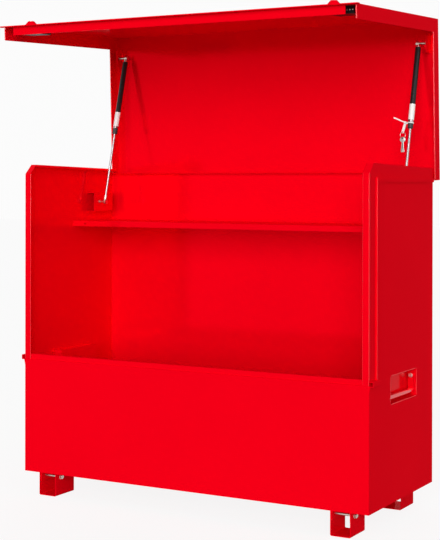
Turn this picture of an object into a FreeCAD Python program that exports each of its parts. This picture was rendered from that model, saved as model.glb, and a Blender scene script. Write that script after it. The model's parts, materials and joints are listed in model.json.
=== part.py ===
import FreeCAD, Part
import math
import os

# Steel storage chest with a lift-up lid, held open by two gas struts. Sizes are in millimetres.
# While it is built, x runs to the right from the middle of the width, y to the back from the
# front face, z up from the floor. The lid is drawn shut and then turned open about its hinge.

V = FreeCAD.Vector

# Body sheets
body_width = 1520.0
body_depth = 600.0
side_height = 1236.0
top_fall = 13.0
sheet = 2.0
bend = 1.5
corner_chamfer = 36.0
post_width = 25.0
front_height = 453.0
band_height = 20.0
band_setback = 6.0
ledge_depth = 33.0
ledge_return = 12.0
back_height = 1205.0
back_flange = 25.0
pan_edge = 30.0
overrun = 1.0

# Feet, the cleats inside them and the bolts through both
foot_height = 90.0
foot_width = 81.0
foot_length = 120.0
foot_side_inset = 71.0
foot_front_inset = 3.0
foot_rear_inset = 19.0
foot_sheet = 3.0
foot_bend = 3.0
cleat_drop = 35.0
cleat_end_gap = 5.0
foot_bolt_radius = 5.0
foot_bolt_clearance = 0.5
foot_bolt_back = 33.0
foot_bolt_drop = 15.5
foot_bolt_stick = 11.0
foot_nut_flats = 17.0
foot_nut_height = 8.0
foot_head_height = 6.5

# Strips and tabs that guard the lid gap
strip_back = 55.0
strip_width = 16.0
strip_thickness = 6.0
strip_drop = 52.0
tab_reach = 17.0
tab_height = 20.0
tab_sheet = 2.5
tab_top_gap = 4.0
gusset_height = 23.0
gusset_reach = 5.0
gusset_thickness = 12.0

# Shelf and its cleats
shelf_front = 315.0
shelf_top = 1092.0
shelf_lip = 23.0
shelf_rear_lip = 20.0
shelf_gap = 0.3
shelf_hole_radius = 4.0
shelf_hole_inset = 62.0
shelf_hole_drop = 12.0
cleat_leg = 25.0
cleat_rise = 28.0
cleat_front_gap = 10.0
cleat_back_gap = 8.0

# Side handles in their pockets
pocket_front = 190.0
pocket_length = 246.0
pocket_bottom = 452.0
pocket_height = 102.0
pocket_depth = 35.0
pocket_corner = 6.0
pocket_flange = 12.0
pivot_inset = 20.0
pivot_above = 75.0
grip_above = 18.0
grip_radius = 10.0
arm_radius = 11.0
arm_thickness = 5.0
arm_gap = 4.0
arm_play = 0.4
pivot_radius = 4.0
pivot_collar_radius = 6.0
pivot_head_radius = 8.0
pivot_head_height = 4.0
pivot_nut_height = 6.5
pivot_clearance = 0.08

# Lid, drawn shut
lid_front_gap = 3.0
lid_top_gap = 2.0
lid_side_gap = 3.0
lid_rear_gap = 25.0
lid_sill_gap = 3.0
lid_flange = 52.0
corner_relief = 0.3
lid_rear_depth = 52.0
lid_open_angle = 87.88
lip_height = 22.0
lip_thickness = 4.0
lip_overhang = 13.0
return_inset = 37.0
return_depth = 34.0
return_leg = 12.0

# Hinges
hinge_count = 3
hinge_spacing = 560.0
hinge_width = 120.0
hinge_back = 12.5
hinge_drop = 50.7
knuckle_count = 5
knuckle_radius = 10.0
knuckle_gap = 0.5
leaf_thickness = 4.0
leaf_clearance = 1.7
body_leaf_drop = 64.3
lid_leaf_rise = 46.7
pin_radius = 4.0
pin_clearance = 0.08
pin_head_radius = 6.0
pin_head_height = 2.5

# Gas struts and the fittings at their ends
strut_inset = 65.7
strut_low_from_back = 145.0
strut_low_from_top = 154.0
strut_up_behind_face = 94.2
strut_up_below_crown = 30.8
tube_radius = 11.0
tube_wall = 1.5
tube_start = 18.0
tube_length = 305.0
tube_cap = 3.0
guide_length = 23.0
guide_plug = 15.0
guide_radius = 10.6
guide_seat = 7.0
guide_groove = 1.0
guide_groove_pitch = 4.0
band_ring_length = 10.0
band_ring_radius = 11.6
label_length = 63.0
label_thickness = 0.3
rod_radius = 5.0
rod_clearance = 0.06
piston_gap = 0.35
piston_length = 12.0
piston_back = 27.5
ball_radius = 6.5
ball_clearance = 0.3
socket_radius = 9.5
socket_back = 9.0
socket_open = 4.2
socket_neck_radius = 7.0
socket_neck_length = 26.0
socket_bore_depth = 12.0
spigot_length = 8.0
stud_neck_radius = 3.4
stud_neck_length = 10.0
stud_radius = 4.0
stud_flats = 13.0
stud_nut_height = 6.0
stud_gap = 0.3

# Brackets for the struts
low_bracket_width = 133.0
low_bracket_height = 82.0
low_bracket_front = 35.0
low_bracket_below = 43.0
stud_reach = 29.7
up_bracket_sheet = 3.0
up_bracket_offset = 35.7
up_bracket_length = 75.0
up_bracket_front = 37.2
up_bracket_height = 45.0
up_bracket_leg = 33.0

# Locks
lock_inset = 98.0
lock_above_lid_end = 37.0
lock_case_depth = 28.0
case_outer_inset = 27.0
case_inner_inset = 120.0
case_rise = 134.0
case_step_inset = 65.0
case_step_rise = 46.0
case_foot_inset = 148.0
case_foot_rise = 17.0
barrel_radius = 8.0
barrel_clearance = 0.06
barrel_hole_gap = 0.6
barrel_inside = 17.0
barrel_recess = 1.0
keyway_length = 9.0
keyway_width = 1.8
keyway_depth = 4.0
cam_thickness = 4.0
cam_reach = 26.0
cam_half_width = 6.0
guard_radius = 28.0
guard_top_radius = 12.0
guard_height = 18.0
guard_wall = 3.5
bolt_length = 45.0
bolt_height = 20.0
bolt_thickness = 12.0
bolt_front = 7.0
bolt_rise = 74.0
bolt_tip_gap = 1.0
bolt_play = 0.3
case_screw_radius = 2.5
case_screw_height = 1.6
case_screw_count = 3
case_screw_inset = 31.0
case_screw_pitch = 10.5
case_screw_back = 14.0
plate_screw_inset = 134.0
plate_screw_rise = 31.0

# Keys hung on one strut
tie_seat = 3.0
tie_thickness = 1.3
tie_width = 4.6
tie_head = 4.0
tie_tail = 58.0
tie_tail_rise = 24.0
eye_inner = 3.3
eye_outer = 4.9
eye_length = 10.0
eye_offset = 7.0
strap_width = 10.0
strap_thickness = 1.6
strap_length = 38.0
strap_lean = 17.0
strap_hole = 2.6
ring_radius = 12.0
ring_wire = 0.9
ring_turn = 35.0
key_head_radius = 10.5
key_hole_radius = 3.2
key_hole_rise = 5.5
key_thickness = 2.2
key_pitch = 3.0
key_blade_length = 39.0
key_blade_width = 8.0
key_fan = 6.0
key_notch = 1.6
key_notch_pitch = 6.0

# Positions that follow from the sizes
half_width = body_width / 2
body_top = foot_height + side_height
front_top = foot_height + front_height
band_top = front_top + band_height
back_top = foot_height + back_height
wall_x = half_width - sheet
back_y = body_depth - sheet
lid_face = -(lid_front_gap + sheet)
lid_inner_face = -lid_front_gap
lid_crown = body_top + lid_top_gap + sheet
lid_ceiling = body_top + lid_top_gap
tab_top = band_top - tab_top_gap
tab_bottom = tab_top - tab_height
lid_end = band_top + lid_sill_gap
lid_back = body_depth + lid_rear_gap + sheet
lid_half = half_width + lid_side_gap + sheet
hinge_y = body_depth + hinge_back
hinge_z = lid_crown - hinge_drop
hinge_point = V(0, hinge_y, hinge_z)
strut_x = half_width - strut_inset
strut_low = V(strut_x, body_depth - strut_low_from_back, body_top - strut_low_from_top)
strut_up_shut = V(strut_x, lid_face + strut_up_behind_face, lid_crown - strut_up_below_crown)
lock_x = half_width - lock_inset
lock_z = lid_end + lock_above_lid_end
case_outer_x = half_width - case_outer_inset
case_inner_x = half_width - case_inner_inset
case_step_x = half_width - case_step_inset
case_foot_x = half_width - case_foot_inset
case_bottom = lid_end + case_foot_rise
case_step = lid_end + case_step_rise
case_top = lid_end + case_rise


def turned(point, angle, about):
    """A point turned about an axis that runs along x."""
    c = math.cos(math.radians(angle))
    s = math.sin(math.radians(angle))
    dy = point.y - about.y
    dz = point.z - about.z
    return V(point.x, about.y + dy * c - dz * s, about.z + dy * s + dz * c)


strut_up = turned(strut_up_shut, -lid_open_angle, hinge_point)
strut_open = (strut_up - strut_low).Length
strut_shut = (strut_up_shut - strut_low).Length
strut_tilt = -math.degrees(math.atan2(strut_up.y - strut_low.y, strut_up.z - strut_low.z))
strut_tilt_shut = -math.degrees(
    math.atan2(strut_up_shut.y - strut_low.y, strut_up_shut.z - strut_low.z)
)
guide_top = strut_open - tube_start - tube_length
guide_bottom = guide_top - guide_length
tie_z = guide_top - tie_seat


# Shape helpers

def box(x0, x1, y0, y1, z0, z1):
    return Part.makeBox(x1 - x0, y1 - y0, z1 - z0, V(x0, y0, z0))


def cylinder(start, axis, length, radius):
    return Part.makeCylinder(radius, length, start, axis)


def fused(shapes):
    whole = shapes[0].multiFuse(shapes[1:])
    return whole.removeSplitter()


def mirrored(shape):
    return shape.mirror(V(0, 0, 0), V(1, 0, 0))


def stood(shape, axis, low, high):
    """A flat outline's solid, drawn up local z, laid along the named axis."""
    if axis == "x":
        turn = FreeCAD.Matrix(0, 0, 1, low, 1, 0, 0, 0, 0, 1, 0, 0, 0, 0, 0, 1)
    elif axis == "y":
        turn = FreeCAD.Matrix(1, 0, 0, 0, 0, 0, -1, high, 0, 1, 0, 0, 0, 0, 0, 1)
    else:
        turn = FreeCAD.Matrix(1, 0, 0, 0, 0, 1, 0, 0, 0, 0, 1, low, 0, 0, 0, 1)
    shape.Placement = FreeCAD.Placement(turn)
    return shape


def path_edges(points, radii):
    """Edges along an open path, with an arc at each corner that has a radius."""
    edges = []
    last = V(points[0][0], points[0][1], 0)
    for before, corner, after, radius in zip(points, points[1:], points[2:], radii):
        here = V(corner[0], corner[1], 0)
        if radius < 0.01:
            edges.append(Part.makeLine(last, here))
            last = here
            continue
        back = (V(before[0], before[1], 0) - here).normalize()
        on = (V(after[0], after[1], 0) - here).normalize()
        half = back.getAngle(on) / 2
        middle = (back + on).normalize()
        start = here + back * (radius / math.tan(half))
        end = here + on * (radius / math.tan(half))
        peak = here + middle * (radius / math.sin(half) - radius)
        edges.append(Part.makeLine(last, start))
        edges.append(Part.Arc(start, peak, end).toShape())
        last = end
    edges.append(Part.makeLine(last, V(points[-1][0], points[-1][1], 0)))
    return edges


def side_step(first, second, gap):
    """Offset of one straight piece of a path to its left."""
    dx = second[0] - first[0]
    dy = second[1] - first[1]
    size = math.hypot(dx, dy)
    return (-dy / size * gap, dx / size * gap)


def offset_path(points, gap, closed=False):
    """The path moved to its left by the gap, mitred at its corners."""
    count = len(points)
    runs = count if closed else count - 1
    steps = [side_step(points[i], points[(i + 1) % count], gap) for i in range(runs)]
    moved = []
    for i, point in enumerate(points):
        before = steps[i - 1] if closed or i > 0 else steps[0]
        after = steps[i] if i < len(steps) else steps[-1]
        reach = 1 + (before[0] * after[0] + before[1] * after[1]) / (gap * gap)
        across = (before[0] + after[0]) / reach
        up = (before[1] + after[1]) / reach
        moved.append((point[0] + across, point[1] + up))
    return moved


def corner_turn(before, corner, after):
    ax = corner[0] - before[0]
    ay = corner[1] - before[1]
    bx = after[0] - corner[0]
    by = after[1] - corner[1]
    return ax * by - ay * bx


def folded(points, thickness, axis, low, high, radius=bend):
    """Bent sheet. The path is one skin of it and the metal lies to the path's left."""
    metal = abs(thickness)
    other = offset_path(points, thickness)
    near = []
    far = []
    for before, corner, after in zip(points, points[1:], points[2:]):
        inward = corner_turn(before, corner, after) * thickness > 0
        near.append(radius + metal if inward else radius)
        far.append(radius if inward else radius + metal)
    if radius < 0.01:
        near = [0.0] * len(near)
        far = [0.0] * len(far)
    edges = path_edges(points, near)
    edges.append(Part.makeLine(V(points[-1][0], points[-1][1], 0), V(other[-1][0], other[-1][1], 0)))
    edges += path_edges(other[::-1], far[::-1])
    edges.append(Part.makeLine(V(other[0][0], other[0][1], 0), V(points[0][0], points[0][1], 0)))
    face = Part.Face(Part.Wire(edges))
    return stood(face.extrude(V(0, 0, high - low)), axis, low, high)


def prism(points, axis, low, high):
    corners = [V(p[0], p[1], 0) for p in points]
    face = Part.Face(Part.makePolygon(corners + corners[:1]))
    return stood(face.extrude(V(0, 0, high - low)), axis, low, high)


def rounded_block(low, high, radius, axis, open_at):
    """Block with every edge rounded but those round its open side."""
    block = Part.makeBox(high.x - low.x, high.y - low.y, high.z - low.z, low)
    rim = [e for e in block.Edges if all(abs(v.Point[axis] - open_at) < 1e-6 for v in e.Vertexes)]
    edges = [e for e in block.Edges if not any(e.isSame(other) for other in rim)]
    return block.makeFillet(radius, edges)


def pressed_box(low, high, thickness, axis, side, radius=bend):
    """Pressed sheet box that is open towards one side of one axis."""
    outer = rounded_block(low, high, radius + thickness, axis, (high if side > 0 else low)[axis])
    inner_low = low + V(thickness, thickness, thickness)
    inner_high = high - V(thickness, thickness, thickness)
    past = V(0, 0, 0)
    past[axis] = 2 * thickness * side
    if side > 0:
        inner_high = inner_high + past
        open_at = inner_high[axis]
    else:
        inner_low = inner_low + past
        open_at = inner_low[axis]
    inner = rounded_block(inner_low, inner_high, radius, axis, open_at)
    return outer.cut(inner)


def hexagon(start, axis, length, flats):
    """Six-sided prism that stands on its start point, for bolt heads and nuts."""
    outer = flats / math.sqrt(3)
    turns = [math.radians(60 * i) for i in range(7)]
    corners = [V(outer * math.cos(turn), outer * math.sin(turn), 0) for turn in turns]
    nut = Part.Face(Part.makePolygon(corners)).extrude(V(0, 0, length))
    nut.Placement = FreeCAD.Placement(start, FreeCAD.Rotation(V(0, 0, 1), axis))
    return nut


def opened(shape):
    """A lid part turned from shut to open."""
    return shape.rotate(hinge_point, V(1, 0, 0), -lid_open_angle)


def on_strut(shape):
    """A part drawn up the strut's own axis, set at the strut's lean."""
    shape = shape.rotate(V(0, 0, 0), V(1, 0, 0), strut_tilt)
    shape.translate(strut_low)
    return shape


# Body

def floor_pan():
    low = V(-wall_x, sheet, foot_height)
    high = V(wall_x, back_y, foot_height + pan_edge)
    return pressed_box(low, high, sheet, 2, 1)


def front_panel():
    skin = [
        (0, foot_height),
        (0, front_top),
        (band_setback, front_top),
        (band_setback, band_top),
        (ledge_depth, band_top),
        (ledge_depth, band_top - ledge_return),
    ]
    return folded(skin, -sheet, "x", -wall_x, wall_x)


def back_panel():
    skin = [(body_depth, foot_height), (body_depth, back_top), (body_depth - back_flange, back_top)]
    return folded(skin, sheet, "x", -wall_x, wall_x)


def side_panel():
    rim_path = [
        (0, front_top),
        (0, body_top - corner_chamfer),
        (corner_chamfer, body_top),
        (body_depth, body_top - top_fall),
    ]
    outline = [(0, foot_height)] + rim_path[1:] + [(body_depth, foot_height)]
    plate = prism(outline, "x", wall_x, half_width)
    rim = folded(rim_path, -sheet, "x", half_width - post_width, half_width, 0.0)
    panel = fused([plate, rim])
    fold = [e for e in panel.Edges if on_fold(e, half_width, rim_path)]
    panel = panel.makeFillet(sheet, fold)
    return panel.cut(pocket_block(0, wall_x - sheet, half_width + sheet))


def on_fold(edge, x, path):
    """Whether an edge lies in the plane x and joins two points of the path."""
    ends = [v.Point for v in edge.Vertexes]
    if len(ends) < 2 or any(abs(p.x - x) > 1e-6 for p in ends):
        return False
    return all(any(math.hypot(p.y - q[0], p.z - q[1]) < 1e-6 for q in path) for p in ends)


def foot_side(x, y):
    """Left edge of a foot and its front edge: x is the side of the chest, y the end of it."""
    left = half_width - foot_side_inset - foot_width if x > 0 else -half_width + foot_side_inset
    front = foot_front_inset if y < 0 else body_depth - foot_rear_inset - foot_length
    return left, front


def foot_drill(left, front):
    start = V(left - overrun, front + foot_bolt_back, foot_height - foot_bolt_drop)
    radius = foot_bolt_radius + foot_bolt_clearance
    return cylinder(start, V(1, 0, 0), foot_width + 2 * overrun, radius)


def foot(x, y):
    left, front = foot_side(x, y)
    right = left + foot_width
    skin = [(left, foot_height), (left, 0), (right, 0), (right, foot_height)]
    channel = folded(skin, foot_sheet, "y", front, front + foot_length, foot_bend)
    return channel.cut(foot_drill(left, front))


def foot_cleat(x, y):
    left, front = foot_side(x, y)
    low = foot_height - cleat_drop
    x0 = left + foot_sheet
    x1 = left + foot_width - foot_sheet
    y0 = front + cleat_end_gap
    y1 = front + foot_length - cleat_end_gap
    skin = [(x0, low), (x0, foot_height), (x1, foot_height), (x1, low)]
    channel = folded(skin, -foot_sheet, "y", y0, y1, foot_bend)
    return channel.cut(foot_drill(left, front))


def foot_bolt(x, y):
    left, front = foot_side(x, y)
    middle = V(left, front + foot_bolt_back, foot_height - foot_bolt_drop)
    along = V(1, 0, 0)
    right = middle + along * foot_width
    return fused([
        hexagon(middle - along * foot_head_height, along, foot_head_height, foot_nut_flats),
        cylinder(middle, along, foot_width + foot_bolt_stick, foot_bolt_radius),
        hexagon(right, along, foot_nut_height, foot_nut_flats),
    ])


def guard_strip():
    """Strip outside a side panel, just clear of the shut lid's end plate."""
    top = body_top - strip_drop
    path = [(strip_back, tab_bottom), (strip_back, top), (back_y, top)]
    return folded(path, -strip_width, "x", half_width, half_width + strip_thickness, 0.0)


def corner_tab():
    """Short channel in front of a guard strip's foot, open to the front, with a gusset below."""
    reach = half_width + tab_reach
    skin = [(half_width, tab_bottom), (reach, tab_bottom), (reach, tab_top), (half_width, tab_top)]
    channel = folded(skin, tab_sheet, "y", 0, strip_back)
    corners = [
        (half_width, tab_bottom - gusset_height),
        (half_width + gusset_reach, tab_bottom),
        (half_width, tab_bottom),
    ]
    return fused([channel, prism(corners, "y", 0, gusset_thickness)])


def shelf():
    back = back_y - shelf_gap
    skin = [
        (shelf_front, shelf_top - shelf_lip),
        (shelf_front, shelf_top),
        (back, shelf_top),
        (back, shelf_top - shelf_rear_lip),
    ]
    tray = folded(skin, -sheet, "x", -wall_x + shelf_gap, wall_x - shelf_gap)
    start = V(-wall_x + shelf_hole_inset, shelf_front - sheet, shelf_top - shelf_hole_drop)
    return tray.cut(cylinder(start, V(0, 1, 0), 3 * sheet, shelf_hole_radius))


def shelf_cleat():
    seat = shelf_top - sheet
    skin = [(wall_x, seat - cleat_rise), (wall_x, seat), (wall_x - cleat_leg, seat)]
    return folded(skin, sheet, "y", shelf_front + cleat_front_gap, back_y - cleat_back_gap)


# Side handles

def pocket_block(grow, x0, x1):
    """The pocket's opening as a block with rounded corners, grown all round."""
    block = box(
        x0, x1,
        pocket_front - grow, pocket_front + pocket_length + grow,
        pocket_bottom - grow, pocket_bottom + pocket_height + grow,
    )
    edges = [e for e in block.Edges if abs(e.Vertexes[0].Point.x - e.Vertexes[-1].Point.x) > 1e-6]
    return block.makeFillet(pocket_corner + grow, edges)


def pivot_point(y):
    return V(half_width - pivot_inset, y, pocket_bottom + pivot_above)


def handle_pocket():
    back = half_width - pocket_depth
    shell = pocket_block(sheet, back - sheet, wall_x)
    flange = pocket_block(pocket_flange, wall_x - sheet, wall_x)
    cup = fused([shell, flange]).cut(pocket_block(0, back, half_width))
    for y in (pocket_front - 2 * sheet, pocket_front + pocket_length - sheet):
        cup = cup.cut(cylinder(pivot_point(y), V(0, 1, 0), 3 * sheet, pivot_radius + pivot_clearance))
    return cup


def handle():
    """Two arms and the bar between them, hanging straight down."""
    pivot = pivot_point(0)
    grip_z = pocket_bottom + grip_above
    along = V(0, 1, 0)
    bore = pivot_radius + pivot_clearance
    pieces = []
    bores = []
    for y in (pocket_front + arm_gap, pocket_front + pocket_length - arm_gap - arm_thickness):
        pieces.append(cylinder(V(pivot.x, y, pivot.z), along, arm_thickness, arm_radius))
        pieces.append(cylinder(V(pivot.x, y, grip_z), along, arm_thickness, arm_radius))
        x0 = pivot.x - arm_radius
        pieces.append(box(x0, x0 + 2 * arm_radius, y, y + arm_thickness, grip_z, pivot.z))
        start = V(pivot.x, y - overrun, pivot.z)
        bores.append(cylinder(start, along, arm_thickness + 2 * overrun, bore))
    start = V(pivot.x, pocket_front + arm_gap, grip_z)
    pieces.append(cylinder(start, along, pocket_length - 2 * arm_gap, grip_radius))
    return fused(pieces).cut(Part.makeCompound(bores))


def pivot_bolts():
    """The two bolts that one handle turns on: nut, collar, shank and head."""
    bolts = []
    for wall, way in ((pocket_front, 1), (pocket_front + pocket_length, -1)):
        along = V(0, way, 0)
        seat = pivot_point(wall)
        outside = seat - along * sheet
        head = seat + along * (arm_gap + arm_thickness + arm_play)
        bolts.append(fused([
            hexagon(outside - along * pivot_nut_height, along, pivot_nut_height, stud_flats),
            cylinder(outside, along, sheet + arm_gap + arm_thickness + arm_play, pivot_radius),
            cylinder(seat, along, arm_gap - arm_play, pivot_collar_radius),
            cylinder(head, along, pivot_head_height, pivot_head_radius),
        ]))
    return bolts


# Lid

def lid_shell():
    skin = [
        (lid_face, lid_end),
        (lid_face, lid_crown),
        (lid_back, lid_crown),
        (lid_back, lid_crown - lid_rear_depth),
    ]
    shell = folded(skin, -sheet, "x", -lid_half, lid_half)
    for x in (-lock_x, lock_x):
        start = V(x, lid_face - overrun, lock_z)
        hole = cylinder(start, V(0, 1, 0), sheet + 2 * overrun, barrel_radius + barrel_hole_gap)
        shell = shell.cut(hole)
    return shell


def lid_side():
    path = [(lid_inner_face, lid_end), (lid_inner_face, lid_ceiling), (lid_back - sheet, lid_ceiling)]
    flange = folded(path, -(lid_flange - sheet), "x", lid_half - sheet, lid_half, 0.0)
    return flange.makeFillet(bend + corner_relief, [e for e in flange.Edges if on_corner(e, path[1:])])


def on_corner(edge, corners):
    """Whether an edge runs along x through one of the corners."""
    ends = [v.Point for v in edge.Vertexes]
    return any(all(math.hypot(p.y - q[0], p.z - q[1]) < 1e-6 for p in ends) for q in corners)


def lid_lip():
    reach = lid_half + lip_overhang
    return box(-reach, reach, lid_face, lid_face + lip_thickness, lid_end - lip_height, lid_end)


def lid_return():
    skin = [
        (lid_inner_face + return_depth, lid_end),
        (lid_inner_face, lid_end),
        (lid_inner_face, lid_end + return_leg),
    ]
    reach = half_width - return_inset
    return folded(skin, -sheet, "x", -reach, reach)


# Hinges

def knuckle_span(centre, index):
    pitch = hinge_width / knuckle_count
    start = centre - hinge_width / 2 + pitch * index + knuckle_gap / 2
    return start, start + pitch - knuckle_gap


def hinge_half(centre, first, leaf, web):
    """One half of a hinge: a leaf, and a barrel and web at every second knuckle."""
    pieces = [leaf]
    for index in range(first, knuckle_count, 2):
        x0, x1 = knuckle_span(centre, index)
        pieces.append(web(x0, x1))
        pieces.append(cylinder(V(x0, hinge_y, hinge_z), V(1, 0, 0), x1 - x0, knuckle_radius))
    whole = fused(pieces)
    start = V(centre - hinge_width, hinge_y, hinge_z)
    return whole.cut(cylinder(start, V(1, 0, 0), 2 * hinge_width, pin_radius + pin_clearance))


def body_hinge(centre):
    low = hinge_z - body_leaf_drop
    leaf_top = hinge_z - knuckle_radius - leaf_clearance
    front = body_depth
    left = centre - hinge_width / 2
    leaf = box(left, left + hinge_width, front, front + leaf_thickness, low, leaf_top)

    def web(x0, x1):
        arm = box(x0, x1, front, hinge_y, hinge_z - knuckle_radius, hinge_z)
        return arm.fuse(box(x0, x1, front, front + leaf_thickness, low, hinge_z))

    return hinge_half(centre, 0, leaf, web)


def lid_hinge(centre):
    high = hinge_z + lid_leaf_rise
    leaf_low = hinge_z + knuckle_radius + leaf_clearance
    back = lid_back - sheet
    left = centre - hinge_width / 2
    leaf = box(left, left + hinge_width, back - leaf_thickness, back, leaf_low, high)

    def web(x0, x1):
        arm = box(x0, x1, hinge_y, back, hinge_z, hinge_z + knuckle_radius)
        return arm.fuse(box(x0, x1, back - leaf_thickness, back, hinge_z, high))

    return hinge_half(centre, 1, leaf, web)


def hinge_pin(centre):
    start = V(centre - hinge_width / 2 - knuckle_gap / 2, hinge_y, hinge_z)
    length = hinge_width + knuckle_gap
    along = V(1, 0, 0)
    return fused([
        cylinder(start - along * pin_head_height, along, pin_head_height, pin_head_radius),
        cylinder(start, along, length, pin_radius),
        cylinder(start + along * length, along, pin_head_height, pin_head_radius),
    ])


def hinge_centres():
    first = -hinge_spacing * (hinge_count - 1) / 2
    return [first + hinge_spacing * i for i in range(hinge_count)]


# Gas struts. Their parts are drawn up z from the lower ball.

def ball(radius):
    """Sphere whose poles lie along x, where the stud leaves it."""
    return Part.makeSphere(radius, V(0, 0, 0), V(1, 0, 0))


def ball_stud(reach, nut_beyond):
    """Ball and its stud towards the chest's side, with a hexagon against the bracket."""
    along = V(1, 0, 0)
    centre = V(0, 0, 0)
    pieces = [
        ball(ball_radius),
        cylinder(centre, along, stud_neck_length + overrun, stud_neck_radius),
        cylinder(V(stud_neck_length, 0, 0), along, reach - stud_neck_length, stud_radius),
        hexagon(V(reach - stud_nut_height, 0, 0), along, stud_nut_height, stud_flats),
    ]
    if nut_beyond:
        pieces.append(cylinder(V(reach, 0, 0), along, sheet + stud_nut_height + sheet, stud_radius))
        pieces.append(hexagon(V(reach + sheet, 0, 0), along, stud_nut_height, stud_flats))
    return fused(pieces)


def ball_socket(way, neck_length, bore_depth):
    """Cup round a ball, with a neck up the strut for way 1 or down it for way -1."""
    along = V(0, 0, way)
    width = socket_back + socket_open
    cup = cylinder(V(-socket_back, 0, 0), V(1, 0, 0), width, socket_radius)
    neck = cylinder(V(0, 0, 0), along, neck_length, socket_neck_radius)
    flats = box(-socket_back, socket_open, -socket_radius, socket_radius, -neck_length, neck_length)
    body = fused([cup, neck.common(flats)]).cut(ball(ball_radius + ball_clearance))
    bore_start = along * (neck_length - bore_depth)
    return body.cut(cylinder(bore_start, along, bore_depth + overrun, rod_radius + rod_clearance))


def strut_rod():
    start = socket_neck_length - socket_bore_depth
    piston = guide_top + piston_back - piston_length
    return fused([
        cylinder(V(0, 0, start), V(0, 0, 1), piston + piston_length - start, rod_radius),
        cylinder(V(0, 0, piston), V(0, 0, 1), piston_length, tube_radius - tube_wall - piston_gap),
    ])


def strut_tube():
    """Tube with a closed upper end that screws into the upper socket."""
    up = V(0, 0, 1)
    tube = cylinder(V(0, 0, guide_top), up, tube_length, tube_radius)
    bore = cylinder(V(0, 0, guide_top), up, tube_length - tube_cap, tube_radius - tube_wall)
    spigot = cylinder(V(0, 0, guide_top + tube_length), up, spigot_length, rod_radius)
    return fused([tube.cut(bore), spigot])


def strut_guide():
    """Ridged end piece that the rod slides through."""
    up = V(0, 0, 1)
    body = cylinder(V(0, 0, guide_bottom), up, guide_length, guide_radius)
    plug = cylinder(V(0, 0, guide_top), up, guide_plug, tube_radius - tube_wall)
    piece = fused([body, plug])
    groove = guide_bottom + guide_groove_pitch / 2
    while groove + guide_groove_pitch / 2 < guide_top - guide_seat:
        ring = cylinder(V(0, 0, groove), up, guide_groove_pitch / 2, guide_radius + overrun)
        core = cylinder(V(0, 0, groove), up, guide_groove_pitch / 2, guide_radius - guide_groove)
        piece = piece.cut(ring.cut(core))
        groove += guide_groove_pitch
    start = V(0, 0, guide_bottom - overrun)
    length = guide_length + guide_plug + 2 * overrun
    return piece.cut(cylinder(start, up, length, rod_radius + rod_clearance))


def sleeve(start, length, inner, outer):
    foot = V(0, 0, start)
    up = V(0, 0, 1)
    return cylinder(foot, up, length, outer).cut(cylinder(foot, up, length, inner))


def strut_ring():
    return sleeve(guide_top, band_ring_length, tube_radius, band_ring_radius)


def strut_label():
    start = guide_top + band_ring_length
    return sleeve(start, label_length, tube_radius, tube_radius + label_thickness)


def upper_on_strut(shape):
    shape.translate(V(0, 0, strut_open))
    return shape


def low_bracket():
    """Channel on the side panel's inside, open at its front and rear ends."""
    face = strut_x + stud_reach
    low = strut_low.z - low_bracket_below
    high = low + low_bracket_height
    front = strut_low.y - low_bracket_front
    skin = [(wall_x, low), (face, low), (face, high), (wall_x, high)]
    cover = folded(skin, -sheet, "y", front, front + low_bracket_width)
    start = V(face - overrun, strut_low.y, strut_low.z)
    return cover.cut(cylinder(start, V(1, 0, 0), sheet + 2 * overrun, stud_radius + stud_gap))


def up_bracket():
    plate = strut_x + up_bracket_offset
    outer = plate + up_bracket_sheet
    front = strut_up_shut.y - up_bracket_front
    skin = [
        (outer, lid_ceiling - up_bracket_height),
        (outer, lid_ceiling),
        (outer - up_bracket_leg, lid_ceiling),
    ]
    return folded(skin, up_bracket_sheet, "y", front, front + up_bracket_length)


# Locks on the inside of the lid's front

def case_outline():
    return [
        (case_foot_x, case_bottom),
        (case_step_x, case_bottom),
        (case_step_x, case_step),
        (case_outer_x, case_step),
        (case_outer_x, case_top),
        (case_inner_x, case_top),
        (case_inner_x, case_step),
        (case_foot_x, case_step),
    ]


def bolt_box(play, x0, x1):
    y0 = lid_inner_face + bolt_front - play
    z0 = lid_end + bolt_rise - play
    return box(x0, x1, y0, y0 + bolt_thickness + 2 * play, z0, z0 + bolt_height + 2 * play)


def lock_case():
    back = lid_inner_face + lock_case_depth
    outer = prism(case_outline(), "y", lid_inner_face, back)
    inner_path = offset_path(case_outline(), sheet, True)
    inner = prism(inner_path, "y", lid_inner_face - overrun, back - sheet)
    rim = [e for e in outer.Edges if all(abs(v.Point.y - back) < 1e-6 for v in e.Vertexes)]
    shell = outer.makeFillet(sheet / 2, rim).cut(inner)
    return shell.cut(bolt_box(bolt_play, case_outer_x - 2 * sheet, case_outer_x + overrun))


def lock_bolt():
    return bolt_box(0, case_outer_x - bolt_tip_gap - bolt_length, case_outer_x - bolt_tip_gap)


def lock_barrel():
    """Barrel with its key slot in front and a cam behind that points up."""
    front = lid_face - guard_height + barrel_recess
    back = lid_inner_face + barrel_inside
    along = V(0, 1, 0)
    barrel = cylinder(V(lock_x, front, lock_z), along, back - front, barrel_radius)
    left = lock_x - cam_half_width
    cam = box(left, left + 2 * cam_half_width, back, back + cam_thickness, lock_z, lock_z + cam_reach)
    disc = cylinder(V(lock_x, back, lock_z), along, cam_thickness, barrel_radius)
    slot = box(
        lock_x - keyway_width / 2, lock_x + keyway_width / 2,
        front - overrun, front + keyway_depth,
        lock_z - keyway_length / 2, lock_z + keyway_length / 2,
    )
    return fused([barrel, disc, cam]).cut(slot)


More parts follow.
